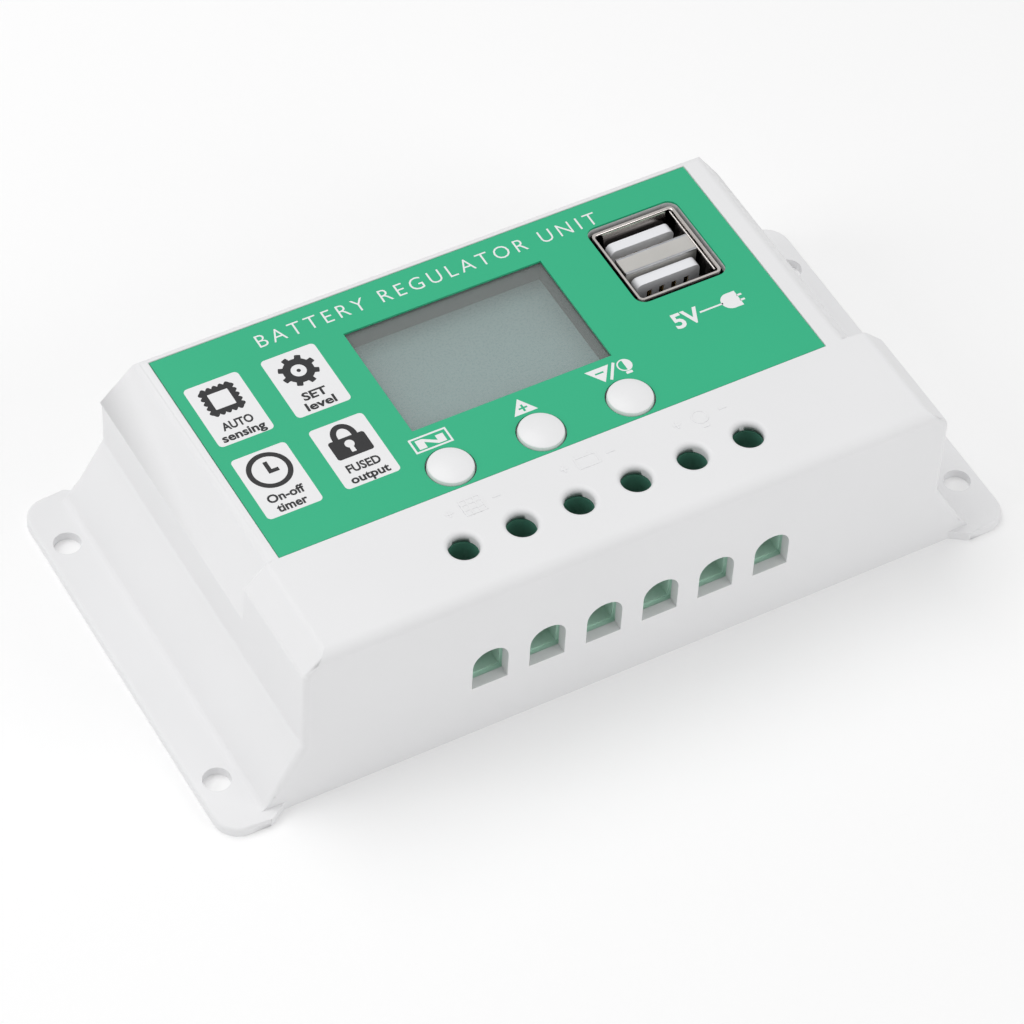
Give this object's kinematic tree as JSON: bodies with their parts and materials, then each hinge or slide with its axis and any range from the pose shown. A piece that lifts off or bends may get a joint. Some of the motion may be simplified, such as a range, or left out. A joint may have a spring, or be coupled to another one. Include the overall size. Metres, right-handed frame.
{
  "type": "charge controller",
  "caption": "Wall-mounted solar charge controller with display, push buttons, twin charging port and cage-clamp terminals.",
  "frame": {"origin": "on the mounting plane, at the middle of the outline of the mounting ears", "axes": "+X to the right along the terminal row, +Y from the terminal side to the far side, +Z out of the wall through the display"},
  "size_m": [0.15, 0.0786, 0.036],
  "materials": {
    "case_white": "moulded off-white plastic, fine matt texture",
    "cover_grey": "moulded light-grey plastic",
    "screw_steel": "zinc-plated steel",
    "overlay_green": "printed film, satin",
    "window_clear": "clear polished plastic",
    "gasket_rubber": "soft foam rubber",
    "display_glass": "coated display glass",
    "light_guide": "frosted clear plastic",
    "holder_white": "moulded white plastic",
    "board_green": "fibreglass laminate under solder mask",
    "port_nickel": "nickel-plated folded sheet",
    "port_plate": "satin grey folded sheet",
    "port_plastic": "moulded white insulator",
    "contact_gilt": "gilt copper alloy",
    "cap_white": "moulded off-white plastic, satin",
    "plunger_black": "moulded black plastic",
    "terminal_green": "moulded green plastic",
    "clamp_steel": "zinc-plated steel",
    "cage_brass": "nickel-plated brass",
    "bar_tin": "tinned copper alloy",
    "plate_aluminium": "rolled aluminium",
    "pad_grey": "heat-conducting silicone",
    "chip_black": "moulded black resin",
    "sleeve_blue": "shrunk film sleeve",
    "core_grey": "sintered ferrite",
    "winding_copper": "enamelled copper wire",
    "shunt_alloy": "resistance alloy strip"
  },
  "bodies": {
    "housing": {"top_case": "case_white", "back_cover": "cover_grey", "cover_screws": "screw_steel", "label_overlay": "overlay_green", "display_window": "window_clear", "lcd_gasket": "gasket_rubber", "lcd_front_glass": "display_glass", "lcd_rear_glass": "display_glass", "lcd_light_guide": "light_guide", "lcd_holder": "holder_white", "lcd_pins": "bar_tin", "display_board": "board_green", "display_board_screws": "screw_steel", "port_shell": "port_nickel", "port_divider": "port_plate", "port_insulator_back": "port_plastic", "port_insulator_front": "port_plastic", "port_contacts": "contact_gilt", "switch_bases": "plunger_black", "switch_covers": "screw_steel", "switch_domes": "contact_gilt", "main_board": "board_green", "main_board_screws": "screw_steel", "terminal_housing": "terminal_green", "terminal_bars": "bar_tin", "heatsink_plate": "plate_aluminium", "thermal_pads": "pad_grey", "mosfet_tabs": "bar_tin", "mosfet_bodies": "chip_black", "mosfet_leads": "bar_tin", "mosfet_screws": "screw_steel", "mosfet_nuts": "screw_steel", "capacitor_cans": "plate_aluminium", "capacitor_sleeves": "sleeve_blue", "capacitor_bungs": "gasket_rubber", "inductor_core": "core_grey", "inductor_winding": "winding_copper", "microcontroller": "chip_black", "header_housings": "plunger_black", "header_pins": "contact_gilt", "shunt_bars": "shunt_alloy"},
    "button_1": {"button_cap_1": "cap_white", "switch_plunger_1": "plunger_black"},
    "button_2": {"button_cap_2": "cap_white", "switch_plunger_2": "plunger_black"},
    "button_3": {"button_cap_3": "cap_white", "switch_plunger_3": "plunger_black"},
    "clamp_screw_1": {"terminal_screw_1": "clamp_steel"},
    "clamp_screw_2": {"terminal_screw_2": "clamp_steel"},
    "clamp_screw_3": {"terminal_screw_3": "clamp_steel"},
    "clamp_screw_4": {"terminal_screw_4": "clamp_steel"},
    "clamp_screw_5": {"terminal_screw_5": "clamp_steel"},
    "clamp_screw_6": {"terminal_screw_6": "clamp_steel"},
    "clamp_cage_1": {"terminal_cage_1": "cage_brass"},
    "clamp_cage_2": {"terminal_cage_2": "cage_brass"},
    "clamp_cage_3": {"terminal_cage_3": "cage_brass"},
    "clamp_cage_4": {"terminal_cage_4": "cage_brass"},
    "clamp_cage_5": {"terminal_cage_5": "cage_brass"},
    "clamp_cage_6": {"terminal_cage_6": "cage_brass"}
  },
  "joints": [
    {"name": "button_1_press", "type": "slide", "parent": "housing", "child": "button_1", "axis": [0, 0, -1], "range_m": [0, 0.0005], "stiffness_N_per_m": 3000, "springref_m": -0.0002},
    {"name": "button_2_press", "type": "slide", "parent": "housing", "child": "button_2", "axis": [0, 0, -1], "range_m": [0, 0.0005], "stiffness_N_per_m": 3000, "springref_m": -0.0002},
    {"name": "button_3_press", "type": "slide", "parent": "housing", "child": "button_3", "axis": [0, 0, -1], "range_m": [0, 0.0005], "stiffness_N_per_m": 3000, "springref_m": -0.0002},
    {"name": "clamp_screw_1_turn", "type": "hinge", "parent": "housing", "child": "clamp_screw_1", "pos_m": [-0.0261, -0.0269, 0.01885], "axis": [0, 0, -1], "range_deg": [0, 2160]},
    {"name": "clamp_screw_2_turn", "type": "hinge", "parent": "housing", "child": "clamp_screw_2", "pos_m": [-0.0155, -0.0269, 0.01885], "axis": [0, 0, -1], "range_deg": [0, 2160]},
    {"name": "clamp_screw_3_turn", "type": "hinge", "parent": "housing", "child": "clamp_screw_3", "pos_m": [-0.0049, -0.0269, 0.01885], "axis": [0, 0, -1], "range_deg": [0, 2160]},
    {"name": "clamp_screw_4_turn", "type": "hinge", "parent": "housing", "child": "clamp_screw_4", "pos_m": [0.0057, -0.0269, 0.01885], "axis": [0, 0, -1], "range_deg": [0, 2160]},
    {"name": "clamp_screw_5_turn", "type": "hinge", "parent": "housing", "child": "clamp_screw_5", "pos_m": [0.0163, -0.0269, 0.01885], "axis": [0, 0, -1], "range_deg": [0, 2160]},
    {"name": "clamp_screw_6_turn", "type": "hinge", "parent": "housing", "child": "clamp_screw_6", "pos_m": [0.0269, -0.0269, 0.01885], "axis": [0, 0, -1], "range_deg": [0, 2160]},
    {"name": "clamp_cage_1_lift", "type": "slide", "parent": "housing", "child": "clamp_cage_1", "axis": [0, 0, 1], "range_m": [0, 0.0042]},
    {"name": "clamp_cage_2_lift", "type": "slide", "parent": "housing", "child": "clamp_cage_2", "axis": [0, 0, 1], "range_m": [0, 0.0042]},
    {"name": "clamp_cage_3_lift", "type": "slide", "parent": "housing", "child": "clamp_cage_3", "axis": [0, 0, 1], "range_m": [0, 0.0042]},
    {"name": "clamp_cage_4_lift", "type": "slide", "parent": "housing", "child": "clamp_cage_4", "axis": [0, 0, 1], "range_m": [0, 0.0042]},
    {"name": "clamp_cage_5_lift", "type": "slide", "parent": "housing", "child": "clamp_cage_5", "axis": [0, 0, 1], "range_m": [0, 0.0042]},
    {"name": "clamp_cage_6_lift", "type": "slide", "parent": "housing", "child": "clamp_cage_6", "axis": [0, 0, 1], "range_m": [0, 0.0042]}
  ],
  "couplings": [
    {"joint": "clamp_screw_1_turn", "follows": "clamp_cage_1_lift", "rad_per_m": 8975.9},
    {"joint": "clamp_screw_2_turn", "follows": "clamp_cage_2_lift", "rad_per_m": 8975.9},
    {"joint": "clamp_screw_3_turn", "follows": "clamp_cage_3_lift", "rad_per_m": 8975.9},
    {"joint": "clamp_screw_4_turn", "follows": "clamp_cage_4_lift", "rad_per_m": 8975.9},
    {"joint": "clamp_screw_5_turn", "follows": "clamp_cage_5_lift", "rad_per_m": 8975.9},
    {"joint": "clamp_screw_6_turn", "follows": "clamp_cage_6_lift", "rad_per_m": 8975.9}
  ]
}
